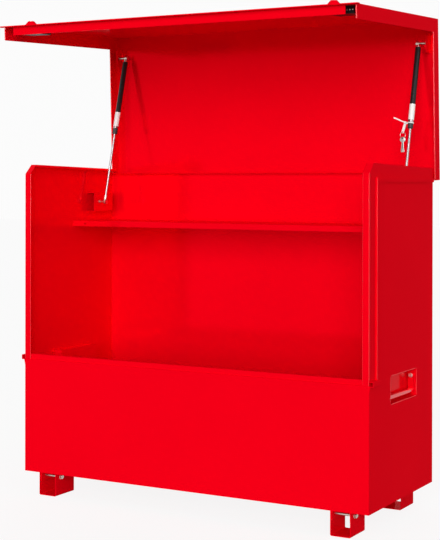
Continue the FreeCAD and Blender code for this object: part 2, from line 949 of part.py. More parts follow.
def lock_guard():
    out = V(0, -1, 0)
    seat = V(lock_x, lid_face, lock_z)
    cone = Part.makeCone(guard_radius, guard_top_radius, guard_height, seat, out)
    slope = (guard_radius - guard_top_radius) / guard_height
    hollow_height = guard_height - guard_wall
    hollow_radius = guard_radius - guard_wall
    hollow_top = hollow_radius - slope * hollow_height
    hollow = Part.makeCone(hollow_radius, hollow_top, hollow_height, seat, out)
    bore = cylinder(seat, out, guard_height + overrun, barrel_radius + barrel_clearance)
    return cone.cut(hollow).cut(bore)


def lock_screws():
    """Screw heads under the case and one on its inner plate."""
    heads = []
    for i in range(case_screw_count):
        x = half_width - case_screw_inset - case_screw_pitch * i
        start = V(x, lid_inner_face + case_screw_back, case_step)
        heads.append(cylinder(start, V(0, 0, -1), case_screw_height, case_screw_radius))
    x = half_width - plate_screw_inset
    start = V(x, lid_inner_face + lock_case_depth, lid_end + plate_screw_rise)
    heads.append(cylinder(start, V(0, 1, 0), case_screw_height, case_screw_radius))
    return heads


# Keys. The tie is drawn in the strut's own frame, the rest hangs from the tie's tail.

def tail_way():
    return V(-tie_tail, 0, tie_tail_rise).normalize()


def tail_start():
    return V(-(guide_radius + tie_thickness + tie_head), 0, tie_z)


def cable_tie():
    up = V(0, 0, 1)
    low = tie_z - tie_width / 2
    band = sleeve(low, tie_width, guide_radius, guide_radius + tie_thickness)
    left = -(guide_radius + tie_thickness)
    half = tie_thickness / 2
    block = box(left - tie_head, left + half, -tie_head / 2, tie_head / 2, low, low + tie_width)
    inside = cylinder(V(0, 0, low), up, tie_width, guide_radius)
    length = math.hypot(tie_tail, tie_tail_rise)
    tail = box(-overrun, length, -half, half, -tie_width / 2, tie_width / 2)
    tail.Placement = FreeCAD.Placement(tail_start(), FreeCAD.Rotation(V(1, 0, 0), tail_way()))
    return fused([band, block.cut(inside), tail])


def eye_centre():
    """Middle of the strap's eye, on the tie's tail, in the chest's frame."""
    point = tail_start() + tail_way() * eye_offset
    turn = FreeCAD.Rotation(V(1, 0, 0), strut_tilt)
    return turn.multVec(point) + strut_low


def strap_end():
    lean = math.radians(strap_lean)
    return eye_centre() + V(-math.sin(lean), 0, -math.cos(lean)) * strap_length


def key_strap():
    centre = eye_centre()
    turn = FreeCAD.Rotation(V(1, 0, 0), strut_tilt)
    along = turn.multVec(tail_way())
    eye = cylinder(centre - along * (eye_length / 2), along, eye_length, eye_outer)
    half = strap_width / 2
    front = -strap_thickness / 2
    plate = box(-half, half, front, -front, -strap_length, 0)
    tip = cylinder(V(0, front, -strap_length), V(0, 1, 0), strap_thickness, half)
    hole = cylinder(V(0, 2 * front, -strap_length), V(0, 1, 0), 2 * strap_thickness, strap_hole)
    bar = fused([plate, tip]).cut(hole)
    bar.Placement = FreeCAD.Placement(centre, FreeCAD.Rotation(V(0, 1, 0), strap_lean))
    bore = cylinder(centre - along * eye_length, along, 2 * eye_length, eye_inner)
    return fused([eye, bar]).cut(bore)


def ring_centre():
    return strap_end() - V(0, 0, ring_radius)


def key_ring():
    turn = math.radians(ring_turn)
    normal = V(math.cos(turn), -math.sin(turn), 0)
    return Part.makeTorus(ring_radius, ring_wire, ring_centre(), normal)


def key_shape():
    """A key that hangs from the middle of its hole."""
    head_z = -key_hole_rise
    tip = head_z - key_head_radius - key_blade_length
    half = key_blade_width / 2
    y0 = -key_thickness / 2
    head = cylinder(V(0, y0, head_z), V(0, 1, 0), key_thickness, key_head_radius)
    blade = box(-half, half, y0, -y0, tip, head_z)
    shape = fused([head, blade])
    spread = key_notch + overrun
    z = tip + key_notch_pitch / 2
    while z < tip + key_blade_length - key_notch_pitch:
        corners = [(half - key_notch, z), (half + overrun, z - spread), (half + overrun, z + spread)]
        shape = shape.cut(prism(corners, "y", y0 - overrun, -y0 + overrun))
        z += key_notch_pitch
    start = V(0, y0 - overrun, 0)
    return shape.cut(cylinder(start, V(0, 1, 0), key_thickness + 2 * overrun, key_hole_radius))


def keys():
    low = ring_centre() - V(0, 0, ring_radius)
    both = []
    for way in (-1, 1):
        y = way * key_pitch / 2
        x = y * math.tan(math.radians(ring_turn))
        fan = FreeCAD.Rotation(V(0, 1, 0), way * key_fan)
        shape = key_shape()
        shape.Placement = FreeCAD.Placement(low + V(x, y, 0), fan)
        both.append(shape)
    return both


# Assembly

def both_sides(name, shape):
    return {name + "_left": mirrored(shape), name + "_right": shape}


def pair(shape):
    """A part and its mirror image as one piece of the list."""
    return Part.makeCompound([mirrored(shape), shape])


def body_parts():
    parts = {
        "floor_pan": floor_pan(),
        "front_panel": front_panel(),
        "back_panel": back_panel(),
        "shelf": shelf(),
        "shelf_cleats": pair(shelf_cleat()),
        "guard_strips": pair(guard_strip()),
        "corner_tabs": pair(corner_tab()),
        "strut_mounts_low": pair(low_bracket()),
        "handle_bolts": pair(Part.makeCompound(pivot_bolts())),
    }
    parts.update(both_sides("side_panel", side_panel()))
    parts.update(both_sides("handle_pocket", handle_pocket()))
    parts.update(both_sides("handle", handle()))
    cleats = []
    bolts = []
    for side, x in (("left", -1), ("right", 1)):
        for end, y in (("front", -1), ("rear", 1)):
            parts["foot_" + end + "_" + side] = foot(x, y)
            cleats.append(foot_cleat(x, y))
            bolts.append(foot_bolt(x, y))
    parts["foot_cleats"] = Part.makeCompound(cleats)
    parts["foot_bolts"] = Part.makeCompound(bolts)
    parts["hinge_body_leaves"] = Part.makeCompound([body_hinge(x) for x in hinge_centres()])
    parts["hinge_pins"] = Part.makeCompound([hinge_pin(x) for x in hinge_centres()])
    return parts


def lid_parts():
    parts = {
        "lid_shell": lid_shell(),
        "lid_lip": lid_lip(),
        "lid_return": lid_return(),
        "hinge_lid_leaves": Part.makeCompound([lid_hinge(x) for x in hinge_centres()]),
        "strut_mounts_up": pair(up_bracket()),
        "lock_guards": pair(lock_guard()),
        "lock_screws": pair(Part.makeCompound(lock_screws())),
    }
    parts.update(both_sides("lid_side", lid_side()))
    parts.update(both_sides("lock_case", lock_case()))
    parts.update(both_sides("lock_barrel", lock_barrel()))
    parts.update(both_sides("lock_bolt", lock_bolt()))
    return {name: opened(shape) for name, shape in parts.items()}


def strut_parts():
    upper_reach = up_bracket_offset - stud_gap
    low_stud = ball_stud(stud_reach, True)
    low_stud.translate(strut_low)
    parts = {"strut_studs_low": pair(low_stud)}
    own = {
        "strut_socket_low": ball_socket(1, socket_neck_length, socket_bore_depth),
        "strut_rod": strut_rod(),
        "strut_tube": strut_tube(),
        "strut_guide": strut_guide(),
        "strut_ring": strut_ring(),
        "strut_label": strut_label(),
        "strut_socket_up": upper_on_strut(ball_socket(-1, tube_start, spigot_length)),
        "strut_stud_up": upper_on_strut(ball_stud(upper_reach, False)),
    }
    for name, shape in own.items():
        parts.update(both_sides(name, on_strut(shape)))
    return parts


def key_parts():
    return {
        "cable_tie": on_strut(cable_tie()),
        "key_strap": key_strap(),
        "key_ring": key_ring(),
        "keys": Part.makeCompound(keys()),
    }


def chest():
    """Every part by name, moved so that the origin is under the middle of the whole."""
    parts = body_parts()
    parts.update(lid_parts())
    parts.update(strut_parts())
    parts.update(key_parts())
    span = Part.makeCompound(list(parts.values())).BoundBox
    shift = V(-(span.XMin + span.XMax) / 2, -(span.YMin + span.YMax) / 2, -span.ZMin)
    for shape in parts.values():
        shape.translate(shift)
    return parts, shift


if __name__ == "__main__":
    os.makedirs("parts", exist_ok=True)
    for name, shape in chest()[0].items():
        shape.exportStep("parts/" + name + ".step")
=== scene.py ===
"""Dresses a steel storage chest with finishes, hems, welds and small fittings, and lights it."""

import json
import math

import bmesh
import bpy
from bpy.props import FloatProperty, FloatVectorProperty, PointerProperty
from bpy.types import Operator, Panel, PropertyGroup
from mathutils import Matrix, Vector


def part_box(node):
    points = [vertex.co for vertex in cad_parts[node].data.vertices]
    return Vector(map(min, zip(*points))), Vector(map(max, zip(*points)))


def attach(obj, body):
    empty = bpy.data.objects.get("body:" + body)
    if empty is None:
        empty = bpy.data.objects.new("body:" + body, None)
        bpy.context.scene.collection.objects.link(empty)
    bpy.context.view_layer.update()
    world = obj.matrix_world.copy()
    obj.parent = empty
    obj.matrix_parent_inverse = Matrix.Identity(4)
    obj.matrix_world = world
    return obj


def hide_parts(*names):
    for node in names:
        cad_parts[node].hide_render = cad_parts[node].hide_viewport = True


bl_info = {
    "name": "Storage chest dressing",
    "version": (1, 0, 0),
    "blender": (4, 5, 0),
    "location": "3D View > Sidebar > Chest",
    "description": "Finishes, hems, welds and small fittings for a steel storage chest",
    "category": "Add Mesh",
}

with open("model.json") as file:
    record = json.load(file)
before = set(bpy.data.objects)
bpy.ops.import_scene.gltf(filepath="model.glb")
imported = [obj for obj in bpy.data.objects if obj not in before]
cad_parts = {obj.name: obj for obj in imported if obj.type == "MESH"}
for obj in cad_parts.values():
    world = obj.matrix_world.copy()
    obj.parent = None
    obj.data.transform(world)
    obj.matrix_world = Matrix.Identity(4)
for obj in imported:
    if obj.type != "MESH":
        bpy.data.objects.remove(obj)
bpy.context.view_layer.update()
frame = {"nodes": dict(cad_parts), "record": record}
SLOT_OF = {part["node"]: part["material_slot"] for part in frame["record"]["subparts"]}
JOINTS = {joint["name"]: joint for joint in frame["record"]["behaviour"]["joints"]}
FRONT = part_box("front_panel")[0].y
SIDES = (("left", -1), ("right", 1))
WHITE = (1.0, 1.0, 1.0, 1.0)


# Places on the chest, in metres

def place(x, back, up):
    """A point by its distance behind the front face and its height above the floor."""
    return Vector((x, FRONT + back, up))


def on_lid(point):
    """A point given on the shut lid, turned to where the open lid holds it."""
    hinge = JOINTS["lid_hinge"]
    centre = Vector(hinge["pos_m"])
    turn = Matrix.Rotation(-math.radians(hinge["range_deg"][1]), 3, "X")
    return centre + turn @ (point - centre)


def lid_way(back, up):
    """A direction given on the shut lid, turned to the open lid."""
    return on_lid(place(0, back, up)) - on_lid(place(0, 0, 0))


def strut_line(side):
    """The lower ball's centre of one gas strut and the way up the strut."""
    low = Vector(JOINTS["strut_swing_" + side]["pos_m"])
    return low, -Vector(JOINTS["strut_slide_" + side]["axis"]).normalized()


# Modelling helpers

SAME_POINT = 1e-6
SHARP_FOLD = math.radians(35)
WIRE_SIDES = 10


def lathe(bm, profile, start, along, steps=24, closed=False):
    """Spins a profile of (distance from the line, distance along it) round a line."""
    axis = along.normalized()
    out = axis.orthogonal().normalized()
    points = [bm.verts.new(start + out * radius + axis * reach) for radius, reach in profile]
    edges = [bm.edges.new(ends) for ends in zip(points, points[1:])]
    if closed:
        edges.append(bm.edges.new((points[-1], points[0])))
    bmesh.ops.spin(bm, geom=points + edges, cent=start, axis=axis, dvec=(0, 0, 0),
                   angle=2 * math.pi, steps=steps, use_merge=True)


def rod(bm, start, end, radius, steps=12):
    """A straight rod with rounded ends."""
    length = (end - start).length
    soft = radius * 0.3
    profile = [
        (0, 0), (radius - soft, 0), (radius, soft),
        (radius, length - soft), (radius - soft, length), (0, length),
    ]
    lathe(bm, profile, start, end - start, steps)


def bead(bm, start, end, radius, pitch):
    """A weld bead with the ripples of its run."""
    length = (end - start).length
    count = max(2, round(length / pitch))
    step = length / count
    profile = [(0, 0)]
    for i in range(count):
        profile.append((radius * 0.84, step * (i + 0.1)))
        profile.append((radius, step * (i + 0.55)))
    profile.append((radius * 0.7, length - step * 0.1))
    profile.append((0, length))
    lathe(bm, profile, start, end - start, steps=8)


def washer(bm, centre, along, inner, outer, thickness, steps=28):
    """A flat ring with broken edges, standing on its centre."""
    edge = thickness * 0.3
    profile = [
        (inner, 0), (outer - edge, 0), (outer, edge), (outer, thickness - edge),
        (outer - edge, thickness), (inner, thickness),
    ]
    lathe(bm, profile, centre, along, steps, closed=True)


def hoop(bm, centre, along, radius, wire, steps=40):
    """A ring of round wire."""
    profile = []
    for i in range(WIRE_SIDES):
        angle = 2 * math.pi * i / WIRE_SIDES
        profile.append((radius + wire * math.cos(angle), wire * math.sin(angle)))
    lathe(bm, profile, centre, along, steps, closed=True)


def slab(bm, centre, size, turn, soft):
    """A block with bevelled edges, turned about its centre."""
    made = bmesh.ops.create_cube(bm, size=1.0)["verts"]
    bmesh.ops.scale(bm, vec=size, verts=made)
    edges = list({edge for vert in made for edge in vert.link_edges})
    if soft > 0:
        made = bmesh.ops.bevel(bm, geom=edges, offset=soft, offset_type="OFFSET", affect="EDGES",
                               segments=2, profile=0.5, material=-1)["verts"] + made
    made = [vert for vert in set(made) if vert.is_valid]
    bmesh.ops.rotate(bm, cent=(0, 0, 0), matrix=turn, verts=made)
    bmesh.ops.translate(bm, vec=centre, verts=made)


def plate(bm, outline, thickness, soft):
    """A flat outline in the XZ plane given its thickness along Y. Returns its vertices."""
    points = [bm.verts.new((x, -thickness / 2, z)) for x, z in outline]
    face = bm.faces.new(points)
    grown = bmesh.ops.extrude_face_region(bm, geom=[face])["geom"]
    top = [item for item in grown if isinstance(item, bmesh.types.BMVert)]
    bmesh.ops.translate(bm, vec=(0, thickness, 0), verts=top)
    rims = [edge for edge in {e for vert in points + top for e in vert.link_edges}
            if abs(edge.verts[0].co.y - edge.verts[1].co.y) < 1e-9]
    made = bmesh.ops.bevel(bm, geom=rims, offset=soft, offset_type="OFFSET", affect="EDGES",
                           segments=2, profile=0.5, material=-1)["verts"]
    return [vert for vert in set(points + top + made) if vert.is_valid]


def finished(bm, name, body, slot, kind=None, smooth=True):
    """Turns a modelled mesh into a piece that rides on a body, with its slot's finish or another kind."""
    bmesh.ops.remove_doubles(bm, verts=bm.verts, dist=SAME_POINT)
    bmesh.ops.recalc_face_normals(bm, faces=bm.faces)
    mesh = bpy.data.meshes.new(name)
    bm.to_mesh(mesh)
    bm.free()
    if smooth:
        mesh.shade_smooth()
        mesh.set_sharp_from_angle(angle=SHARP_FOLD)
    mesh.materials.append(finish_of(kind or slot))
    piece = bpy.data.objects.new(name, mesh)
    bpy.context.scene.collection.objects.link(piece)
    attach(piece, body)
    return piece


# Shader maths

class Amount:
    """A shader's number. Arithmetic on it adds the Math nodes."""

    def __init__(self, nodes, socket):
        self.nodes = nodes
        self.socket = socket

    def _math(self, operation, first, second):
        node = self.nodes.node("ShaderNodeMath", {"operation": operation}, {0: first, 1: second})
        return Amount(self.nodes, node.outputs[0])

    def __add__(self, other):
        return self._math("ADD", self, other)

    __radd__ = __add__

    def __mul__(self, other):
        return self._math("MULTIPLY", self, other)

    __rmul__ = __mul__

    def __sub__(self, other):
        return self._math("SUBTRACT", self, other)

    def __rsub__(self, other):
        return self._math("SUBTRACT", other, self)

    def __gt__(self, other):
        return self._math("GREATER_THAN", self, other)

    def __or__(self, other):
        """The larger of the two."""
        return self._math("MAXIMUM", self, other)

    def limited(self):
        """The same number held between 0 and 1."""
        node = self.nodes.node("ShaderNodeClamp", {}, {"Value": self})
        return Amount(self.nodes, node.outputs[0])


class Nodes:
    """A node tree whose nodes all come from one method."""

    def __init__(self, tree):
        self.tree = tree

    def node(self, kind, settings=None, values=None):
        """A new node. Its settings are set first, and then its sockets are fed."""
        made = self.tree.nodes.new(kind)
        for key, value in (settings or {}).items():
            setattr(made, key, value)
        for key, value in (values or {}).items():
            self.feed(made.inputs[key], value)
        return made

    def feed(self, socket, value):
        """Links a socket to an amount or another socket, or sets it to a plain value."""
        if isinstance(value, Amount):
            value = value.socket
        if isinstance(value, bpy.types.NodeSocket):
            self.tree.links.new(value, socket)
        else:
            socket.default_value = value

    def background_rays(self):
        """1 for the rays that see the background, straight, by gloss or by transmission, and else 0."""
        path = self.node("ShaderNodeLightPath").outputs
        seen = Amount(self, path["Is Camera Ray"])
        return seen | Amount(self, path["Is Glossy Ray"]) | Amount(self, path["Is Transmission Ray"])


class Finish(Nodes):
    """A procedural surface finish, built node by node."""

    def __init__(self, name, **constants):
        self.material = bpy.data.materials.new(name)
        self.material.use_nodes = True
        super().__init__(self.material.node_tree)
        self.shader = self.tree.nodes["Principled BSDF"]
        for socket, value in constants.items():
            self.shader.inputs[socket.replace("_", " ")].default_value = value
        self.position = self.node("ShaderNodeTexCoord").outputs["Object"]

    def mottle(self, scale, detail, stretch=(1, 1, 1)):
        """Noise over the surface, from 0 to 1, its scale in features for each metre."""
        where = self.node("ShaderNodeMapping", {}, {"Vector": self.position, "Scale": stretch}).outputs[0]
        made = self.node("ShaderNodeTexNoise", {}, {"Vector": where, "Scale": scale, "Detail": detail})
        return Amount(self, made.outputs["Fac"])

    def tint(self, share, first, second):
        """A colour between two, by a share from 0 to 1."""
        made = self.node("ShaderNodeMix", {"data_type": "RGBA"}, {0: share, 6: first, 7: second})
        return made.outputs[2]

    def relief(self, height, depth):
        """Bumps of the height's pattern, the depth in metres."""
        made = self.node("ShaderNodeBump", {}, {"Height": height, "Distance": depth, "Strength": 1.0})
        self.feed(self.shader.inputs["Normal"], made.outputs[0])

    def set(self, **inputs):
        """Feeds the shader's own sockets."""
        for socket, value in inputs.items():
            self.feed(self.shader.inputs[socket.replace("_", " ")], value)


def shade(colour, factor):
    """A colour scaled in brightness, with full alpha."""
    return (colour[0] * factor, colour[1] * factor, colour[2] * factor, 1.0)


FINISHES = {}


def finish_of(kind):
    """A finish by its kind, made once."""
    if kind not in FINISHES:
        FINISHES[kind] = MAKERS[kind](bpy.context.scene.chest_colours)
    return FINISHES[kind]


def red_coat(name, colours, roughness, deep_shine, **constants):
    """Powder coat with orange peel, fine grit and a slow change of depth."""
    gloss = bpy.context.scene.chest_gloss
    coat = Finish(name, Specular_IOR_Level=gloss.edge_shine, Metallic=deep_shine, **constants)
    peel = coat.mottle(scale=gloss.peel_scale, detail=2.0)
    sweep = coat.mottle(scale=2.3, detail=3.0)
    haze = coat.mottle(scale=17.0, detail=4.0)
    grit = coat.mottle(scale=900.0, detail=1.0)
    red = tuple(colours.red)
    body = coat.tint(sweep, shade(red, 0.95), shade(red, 1.05))
    flecks = (grit > 0.7) * 0.25
    coat.set(Base_Color=coat.tint(flecks, body, shade(red, 0.82)))
    coat.set(Roughness=roughness + haze * 0.08 + grit * 0.03)
    coat.relief(peel + sweep * 6.0, gloss.peel_depth)
    return coat.material


def red_outer_coat(colours):
    """The red coat of the outer sheets."""
    gloss = bpy.context.scene.chest_gloss
    return red_coat("red_outer_coat", colours, gloss.roughness, gloss.deep_shine)


def red_inner_coat(colours):
    """The smoother red coat of the inner sheets."""
    gloss = bpy.context.scene.chest_gloss
    return red_coat("red_inner_coat", colours, gloss.inner_roughness, gloss.inner_shine)


def red_edge_coat(colours):
    """The red coat on folds and hems, with a clear shine."""
    gloss = bpy.context.scene.chest_gloss
    return red_coat("red_edge_coat", colours, gloss.inner_roughness, gloss.inner_shine,
                    Coat_Weight=gloss.edge_coat, Coat_Roughness=gloss.inner_roughness)


def bright_zinc(colours):
    """Zinc plate with a fine spangle and pale stains."""
    zinc = Finish("bright_zinc", Metallic=1.0)
    spangle = zinc.mottle(scale=420.0, detail=2.0)
    stain = zinc.mottle(scale=60.0, detail=4.0)
    colour = tuple(colours.zinc)
    zinc.set(Base_Color=zinc.tint(stain, shade(colour, 0.82), shade(colour, 1.08)))
    zinc.set(Roughness=0.24 + spangle * 0.16)
    zinc.relief(spangle, depth=0.00003)
    return zinc.material


def worn_nickel(colours):
    """Nickel plate rubbed along its length."""
    nickel = Finish("worn_nickel", Metallic=1.0)
    rub = nickel.mottle(scale=800.0, detail=3.0, stretch=(1, 1, 0.06))
    cloud = nickel.mottle(scale=110.0, detail=3.0)
    colour = tuple(colours.nickel)
    nickel.set(Base_Color=nickel.tint(cloud, shade(colour, 0.75), shade(colour, 1.05)))
    nickel.set(Roughness=0.2 + rub * 0.22)
    nickel.relief(rub, depth=0.00002)
    return nickel.material


def hard_chrome(colours):
    """Chrome of the strut rods, wiped along their length."""
    chrome = Finish("hard_chrome", Metallic=1.0)
    wipe = chrome.mottle(scale=500.0, detail=2.0, stretch=(1, 1, 0.03))
    film = chrome.mottle(scale=35.0, detail=3.0)
    colour = tuple(colours.chrome)
    chrome.set(Base_Color=chrome.tint(film, shade(colour, 0.92), shade(colour, 1.04)))
    chrome.set(Roughness=0.16 + wipe * 0.1)
    chrome.relief(wipe, depth=0.000006)
    return chrome.material


def black_tube_paint(colours):
    """Black paint of the strut tubes under a little dust."""
    paint = Finish("black_tube_paint", Specular_IOR_Level=0.10, Coat_Weight=0.2, Coat_Roughness=0.05)
    peel = paint.mottle(scale=1100.0, detail=2.0)
    dust = paint.mottle(scale=90.0, detail=4.0)
    colour = tuple(colours.tube_black)
    paint.set(Base_Color=paint.tint((dust - 0.45).limited(), shade(colour, 1.0), shade(colour, 2.2)))
    paint.set(Roughness=0.26 + dust * 0.12)
    paint.relief(peel, depth=0.00001)
    return paint.material


def black_lock_paint(colours):
    """Black paint of the lock cases, with scuffs. It is also the painted shade in the screws' cross recesses
    and in the keys' grooves and holes.
    """
    paint = Finish("black_lock_paint", Specular_IOR_Level=0.2)
    wrinkle = paint.mottle(scale=1500.0, detail=3.0)
    scuff = paint.mottle(scale=140.0, detail=5.0)
    colour = tuple(colours.lock_black)
    paint.set(Base_Color=paint.tint((scuff - 0.5).limited(), shade(colour, 1.0), shade(colour, 3.0)))
    paint.set(Roughness=0.3 + scuff * 0.2)
    paint.relief(wrinkle, depth=0.00002)
    return paint.material


def moulded_black(colours):
    """Black moulded plastic with a pale bloom."""
    plastic = Finish("moulded_black")
    grain = plastic.mottle(scale=2200.0, detail=2.0)
    bloom = plastic.mottle(scale=130.0, detail=3.0)
    colour = tuple(colours.plastic_black)
    plastic.set(Base_Color=plastic.tint(bloom, shade(colour, 0.8), shade(colour, 1.5)))
    plastic.set(Roughness=0.42 + bloom * 0.18)
    plastic.relief(grain, depth=0.000015)
    return plastic.material


def white_plastic(colours):
    """White plastic of the labels, the tie and the strap."""
    plastic = Finish("white_plastic")
    grain = plastic.mottle(scale=1700.0, detail=2.0)
    bloom = plastic.mottle(scale=70.0, detail=3.0)
    colour = tuple(colours.white)
    plastic.set(Base_Color=plastic.tint(bloom, shade(colour, 0.94), shade(colour, 1.0)))
    plastic.set(Roughness=0.34 + grain * 0.12)
    plastic.relief(grain, depth=0.00001)
    return plastic.material


MAKERS = {
    "red_paint": red_outer_coat,
    "red_inner": red_inner_coat,
    "red_edge": red_edge_coat,
    "zinc": bright_zinc,
    "nickel": worn_nickel,
    "chrome": hard_chrome,
    "black_paint": black_tube_paint,
    "lock_black": black_lock_paint,
    "black_plastic": moulded_black,
    "white_plastic": white_plastic,
}


# Settings that a user would change

class ChestColours(PropertyGroup):
    """Colours of the chest's coats and fittings"""
    red: FloatVectorProperty(name="Red", description="Powder coat of the sheet metal",
                             subtype="COLOR", min=0, max=1, default=(0.88, 0.0, 0.0085))
    zinc: FloatVectorProperty(name="Zinc", description="Bolts, studs and nuts",
                              subtype="COLOR", min=0, max=1, default=(0.64, 0.60, 0.54))
    nickel: FloatVectorProperty(name="Nickel", description="Keys and lock barrels",
                                subtype="COLOR", min=0, max=1, default=(0.46, 0.45, 0.43))
    chrome: FloatVectorProperty(name="Chrome", description="Strut rods",
                                subtype="COLOR", min=0, max=1, default=(0.36, 0.30, 0.31))
    tube_black: FloatVectorProperty(name="Tube black", description="Paint of the strut tubes",
                                    subtype="COLOR", min=0, max=1, default=(0.012, 0.012, 0.013))
    lock_black: FloatVectorProperty(name="Lock black", description="Paint of the lock cases",
                                    subtype="COLOR", min=0, max=1, default=(0.008, 0.008, 0.008))
    plastic_black: FloatVectorProperty(name="Plastic black", description="Strut ends and seals",
                                       subtype="COLOR", min=0, max=1, default=(0.02, 0.02, 0.02))
    white: FloatVectorProperty(name="White", description="Labels, tie and key strap",
                               subtype="COLOR", min=0, max=1, default=(0.86, 0.86, 0.84))


class ChestGloss(PropertyGroup):
    """Gloss and ripples of the red coat"""
    roughness: FloatProperty(name="Roughness", description="Roughness of the red coat",
                             min=0, max=1, default=0.16)
    edge_shine: FloatProperty(name="Edge shine", description="White shine of the red coat",
                              min=0, max=1, default=0.0)
    deep_shine: FloatProperty(name="Deep shine", description="Red-tinted reflection of the outer coat",
                              min=0, max=1, default=0.03)
    inner_roughness: FloatProperty(name="Inner roughness", description="Roughness of the smoother inner coat",
                                   min=0, max=1, default=0.07)
    inner_shine: FloatProperty(name="Inner shine", description="Red-tinted reflection of the inner coat",
                               min=0, max=1, default=0.28)
    edge_coat: FloatProperty(name="Edge coat", description="Weight of the clear shine on folds and hems",
                             min=0, max=1, default=1.0)
    peel_scale: FloatProperty(name="Peel scale", description="Ripples of the coat for each metre",
                              min=1, default=420.0)
    peel_depth: FloatProperty(name="Peel depth", description="Depth of the coat's ripples",
                              unit="LENGTH", min=0, precision=6, default=0.00003)


class ChestTrim(PropertyGroup):
    """Sizes of the hems, welds and washers"""
    hem_radius: FloatProperty(name="Hem radius", description="Radius of the rolled sheet edges",
                              unit="LENGTH", min=0.0005, precision=4, default=0.0022)
    weld_radius: FloatProperty(name="Weld radius", description="Radius of the weld beads",
                               unit="LENGTH", min=0.0005, precision=4, default=0.0028)
    weld_pitch: FloatProperty(name="Weld pitch", description="Distance from ripple to ripple",
                              unit="LENGTH", min=0.0005, precision=4, default=0.0032)
    washer_radius: FloatProperty(name="Washer radius", description="Radius of the foot bolts' washers",
                                 unit="LENGTH", min=0.005, precision=4, default=0.0102)
    washer_thickness: FloatProperty(name="Washer thickness", description="Thickness of the washers",
                                    unit="LENGTH", min=0.0005, precision=4, default=0.0018)


class ChestStage(PropertyGroup):
    """Lights, floor, backdrop and lens"""
    key_power: FloatProperty(name="Key light", description="Strength of the front light",
                             min=0, default=2.5)
    key_spread: FloatProperty(name="Key spread", description="Width of the front light in the sky",
                              subtype="ANGLE", default=math.radians(36))
    side_power: FloatProperty(name="Side light", description="Strength of the right-hand light",
                              min=0, default=0.2)
    back_power: FloatProperty(name="Back light", description="Strength of the light from behind",
                              min=0, default=0.6)
    sky: FloatProperty(name="Sky", description="Strength of the even light from all round",
                       min=0, default=0.36)
    floor_size: FloatProperty(name="Floor size", description="Width of the floor",
                              unit="LENGTH", default=60.0)
    floor_white: FloatProperty(name="Floor white", description="Paleness of the floor",
                               min=0, max=1, default=0.55)
    backdrop_share: FloatProperty(name="Backdrop share", description="How far the seen floor is whitened",
                                  min=0, max=1, default=0.88)
    backdrop_white: FloatProperty(name="Backdrop white", description="Brightness of the seen backdrop",
                                  min=0, max=1, default=0.97)
    lens: FloatProperty(name="Lens", description="Focal length of the camera in millimetres",
                        min=1, default=88.5)


# Finishes of the frame's own parts

INNER_SHEETS = (
    "lid_shell", "lid_return", "side_panel_left", "back_panel", "shelf", "shelf_cleats", "strut_mounts_low",
    "strut_mounts_up", "handle_pocket_left", "handle_pocket_right",
)
EDGE_SHEETS = ("handle_left", "handle_right")


def kind_of(name, slot):
    """The kind of finish that one of the frame's parts gets."""
    if name in INNER_SHEETS:
        return "red_inner"
    if name in EDGE_SHEETS:
        return "red_edge"
    return slot


def dress(slots):
    """Gives the frame's parts in some material slots their finishes."""
    for name, slot in SLOT_OF.items():
        if slot in slots:
            mesh = frame["nodes"][name].data
            mesh.materials.clear()
            mesh.materials.append(finish_of(kind_of(name, slot)))


class CHEST_OT_coat_sheets(Operator):
    """Give the sheet metal its red powder coat"""
    bl_idname = "chest.coat_sheets"
    bl_label = "Coat the sheet metal"

    def execute(self, context):
        dress(("red_paint",))
        return {"FINISHED"}


class CHEST_OT_plate_metals(Operator):
    """Give the bolts, rods, barrels and keys their plating"""
    bl_idname = "chest.plate_metals"
    bl_label = "Plate the metal fittings"

    def execute(self, context):
        dress(("zinc", "nickel", "chrome"))
        return {"FINISHED"}


class CHEST_OT_finish_fittings(Operator):
    """Finish the black and white fittings"""
    bl_idname = "chest.finish_fittings"
    bl_label = "Finish the black and white fittings"

    def execute(self, context):
        dress(("black_paint", "lock_black", "black_plastic", "white_plastic"))
        return {"FINISHED"}


# Rolled edges of the sheets, with places measured back from the front face and up from the floor

LID_END = 0.566
LID_EDGE_X = 0.764
LID_EDGE_BACK = 0.047
LID_EDGE_UP = 1.278
LID_REAR = 0.625
BODY_SIDE = 0.760
POST_EDGE_X = 0.735
POST_BOTTOM = 0.543
POST_TOP = 1.290
POST_CROWN = 1.326
FOLD_PROUD = 0.00015
STRIP_OUT = 0.766
STRIP_BACK = 0.055
STRIP_FOOT = 0.561
STRIP_TOP = 1.274
STRIP_EDGE = 0.0012
CROWN_BACK = 0.036
REAR_BACK = 0.600
REAR_TOP = 1.313
SHEET = 0.002
TOP_LIP = 0.009
POST_HEM_SHARE = 0.8


class CHEST_OT_lid_hems(Operator):
    """Roll the free edges of the lid's end plates"""
    bl_idname = "chest.lid_hems"
    bl_label = "Lid hems"

    def execute(self, context):
        radius = context.scene.chest_trim.hem_radius
        for side, way in SIDES:
            x = way * LID_EDGE_X
            tip = on_lid(place(x, 0, LID_END))
            end = on_lid(place(x, LID_EDGE_BACK, LID_END))
            corner = on_lid(place(x, LID_EDGE_BACK, LID_EDGE_UP))
            rear = on_lid(place(x, LID_REAR, LID_EDGE_UP))
            bm = bmesh.new()
            rod(bm, end, corner, radius)
            finished(bm, "lid_hem_long_" + side, "lid", "red_paint")
            bm = bmesh.new()
            rod(bm, tip, end, radius)
            rod(bm, corner, rear, radius)
            finished(bm, "lid_hem_" + side, "lid", "red_paint", "red_edge")
        return {"FINISHED"}


def crown_line(x):
    """The bend over a corner post and the rear end of the side's top, in from the outer faces."""
    return place(x, CROWN_BACK, POST_CROWN - SHEET), place(x, REAR_BACK - SHEET, REAR_TOP - SHEET)


